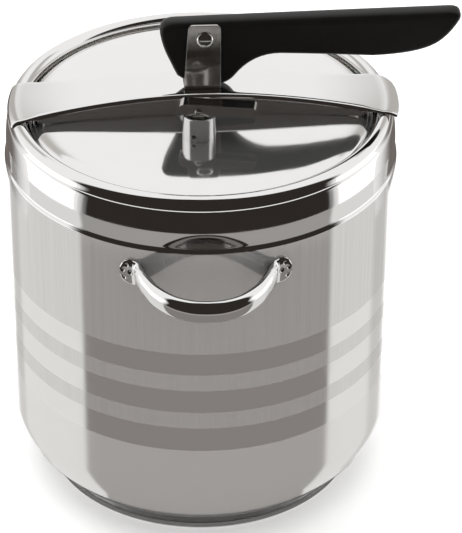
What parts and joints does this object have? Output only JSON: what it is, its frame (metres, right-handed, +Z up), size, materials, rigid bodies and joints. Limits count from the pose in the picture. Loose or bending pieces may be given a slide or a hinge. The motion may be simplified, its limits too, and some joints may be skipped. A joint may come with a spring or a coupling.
{
  "type": "stovetop pressure cooker",
  "caption": "Straight-sided steel pressure cooker with an inner lid hung from a bridge across the rim, a black cam lever, a relief valve with a flip lever and two loop side handles.",
  "frame": {"origin": "pot's axis at the face that it stands on", "axes": "+Z up, +X along the bridge towards the lever's grip, -Y towards the pressure valve"},
  "size_m": [0.2527, 0.2922, 0.2862],
  "materials": {
    "brushed_steel": "vertical satin brushing with smoother polished bands",
    "polished_steel": "mirror-polished stainless steel",
    "machined_steel": "turned bright steel",
    "base_aluminium": "plain, sealed in the base",
    "black_bakelite": "satin black moulding",
    "silicone": "soft pale silicone"
  },
  "bodies": {
    "pot": {"pot_shell": "brushed_steel", "heat_disc": "base_aluminium", "base_cap": "brushed_steel", "side_handle_front": "polished_steel", "side_handle_back": "polished_steel"},
    "bridge": {"bridge": "polished_steel"},
    "lid": {"lid_disc": "polished_steel", "lid_gasket": "silicone", "strap_front": "polished_steel", "strap_back": "polished_steel", "lever_pin": "polished_steel", "valve_tube": "polished_steel", "valve_seat": "machined_steel", "valve_washer": "silicone", "valve_nut": "machined_steel", "valve_guide": "machined_steel", "valve_spring": "machined_steel", "safety_housing": "machined_steel", "safety_washer": "silicone", "safety_nut": "machined_steel", "safety_spring": "machined_steel"},
    "lever": {"lever_handle": "black_bakelite", "lever_bush": "machined_steel"},
    "valve_stem": {"valve_stem": "machined_steel", "flip_lever_pin": "polished_steel"},
    "flip_lever": {"flip_lever": "polished_steel"},
    "safety_plunger": {"safety_plunger": "machined_steel"}
  },
  "joints": [
    {"name": "lid_lift", "type": "slide", "parent": "pot", "child": "bridge", "axis": [0, 0, 1], "range_m": [0, 0.12], "deforming": ["lid_disc", "lid_gasket"]},
    {"name": "lid_drop", "type": "slide", "parent": "bridge", "child": "lid", "axis": [0, 0, -1], "range_m": [0, 0.0057]},
    {"name": "lever_swing", "type": "hinge", "parent": "lid", "child": "lever", "pos_m": [0.002, 0, 0.274], "axis": [0, -1, 0], "range_deg": [0, 90]},
    {"name": "stem_lift", "type": "slide", "parent": "lid", "child": "valve_stem", "axis": [0, 0, 1], "range_m": [0, 0.0028], "deforming": ["valve_spring"]},
    {"name": "flip_swing", "type": "hinge", "parent": "valve_stem", "child": "flip_lever", "pos_m": [-0.0025, -0.034, 0.2464], "axis": [-0.1633, -0.9866, 0], "range_deg": [0, 18]},
    {"name": "safety_pop", "type": "slide", "parent": "lid", "child": "safety_plunger", "axis": [0, 0, 1], "range_m": [0, 0.0025], "stiffness_N_per_m": 800, "deforming": ["safety_spring"]}
  ],
  "couplings": [
    {"joint": "lid_drop", "follows": "lever_swing", "m_per_rad": 0.0036},
    {"joint": "stem_lift", "follows": "flip_swing", "m_per_rad": 0.0088}
  ]
}
